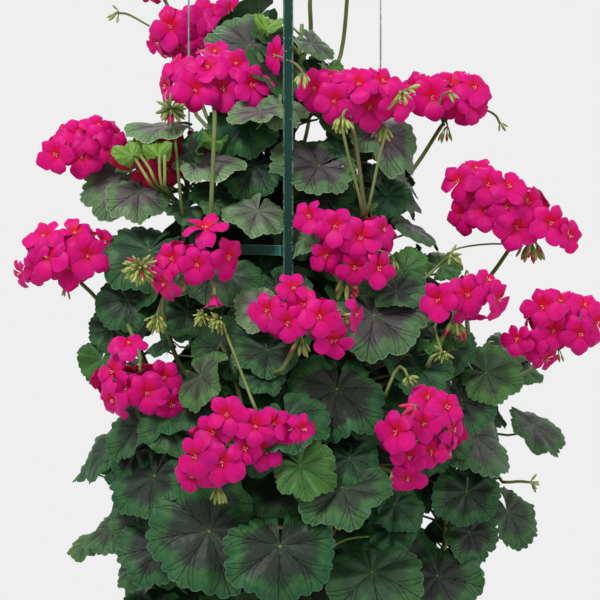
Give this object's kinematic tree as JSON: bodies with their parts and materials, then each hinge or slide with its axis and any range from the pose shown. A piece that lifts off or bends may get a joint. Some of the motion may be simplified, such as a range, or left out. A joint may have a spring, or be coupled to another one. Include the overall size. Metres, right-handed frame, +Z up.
{
  "type": "geranium hanging basket",
  "caption": "Potted geranium in flower in a hanging basket: magenta flower heads over round dark-zoned leaves, held by a green post and two wires",
  "frame": {"origin": "the inner top of the hook, where it bears on what it hangs from", "axes": "+Z up; the square post is at the front, -Y; +X is to the right seen from the front"},
  "size_m": [0.5578, 0.558, 0.8653],
  "materials": {
    "petal": "satin magenta petal",
    "leaf": "soft matt green leaf with a dark zone",
    "stem": "matt green stem",
    "soil": "damp potting soil",
    "pot_plastic": "satin dark green moulded plastic",
    "green_steel": "semi-gloss dark green paint",
    "galvanised_steel": "dull zinc"
  },
  "bodies": {
    "root": {"brace_left": "green_steel", "brace_right": "green_steel", "flower_head_back_high": "petal", "flower_head_back_left": "petal", "flower_head_back_low": "petal", "flower_head_back_right": "petal", "flower_head_crown_back_left": "petal", "flower_head_crown_left": "petal", "flower_head_crown_right": "petal", "flower_head_far_right": "petal", "flower_head_front_centre": "petal", "flower_head_front_left": "petal", "flower_head_front_right": "petal", "flower_head_low_centre": "petal", "flower_head_low_left": "petal", "flower_head_low_right": "petal", "flower_head_lower_right": "petal", "flower_head_middle_left": "petal", "flower_head_middle_right": "petal", "flower_head_top_front": "petal", "flower_head_top_right": "petal", "flower_head_upper_left": "petal", "flower_head_upper_right": "petal", "hook": "galvanised_steel", "leafy_shoot_back": "leaf", "leafy_shoot_crown_back": "leaf", "leafy_shoot_crown_front": "leaf", "leafy_shoot_front_left": "leaf", "leafy_shoot_front_right": "leaf", "leafy_shoot_middle_left": "leaf", "leafy_shoot_middle_right": "leaf", "leafy_shoot_upper_front_left": "leaf", "leafy_shoot_upper_front_right": "leaf", "leafy_shoot_upper_left": "leaf", "leafy_shoot_upper_right": "leaf", "post": "green_steel", "post_screw_lower": "galvanised_steel", "post_screw_upper": "galvanised_steel", "pot": "pot_plastic", "soil": "soil", "spreader_arm_front": "green_steel", "spreader_arm_left": "green_steel", "spreader_arm_right": "green_steel", "spreader_hub": "green_steel", "stem_back": "stem", "stem_centre": "stem", "stem_far_left": "stem", "stem_far_right": "stem", "stem_front_left": "stem", "stem_front_right": "stem", "stem_left": "stem", "stem_right": "stem", "trailing_shoot_back": "leaf", "trailing_shoot_back_left": "leaf", "trailing_shoot_back_right": "leaf", "trailing_shoot_front": "leaf", "trailing_shoot_front_left": "leaf", "trailing_shoot_front_right": "leaf", "wire_left": "galvanised_steel", "wire_right": "galvanised_steel"}
  },
  "joints": []
}
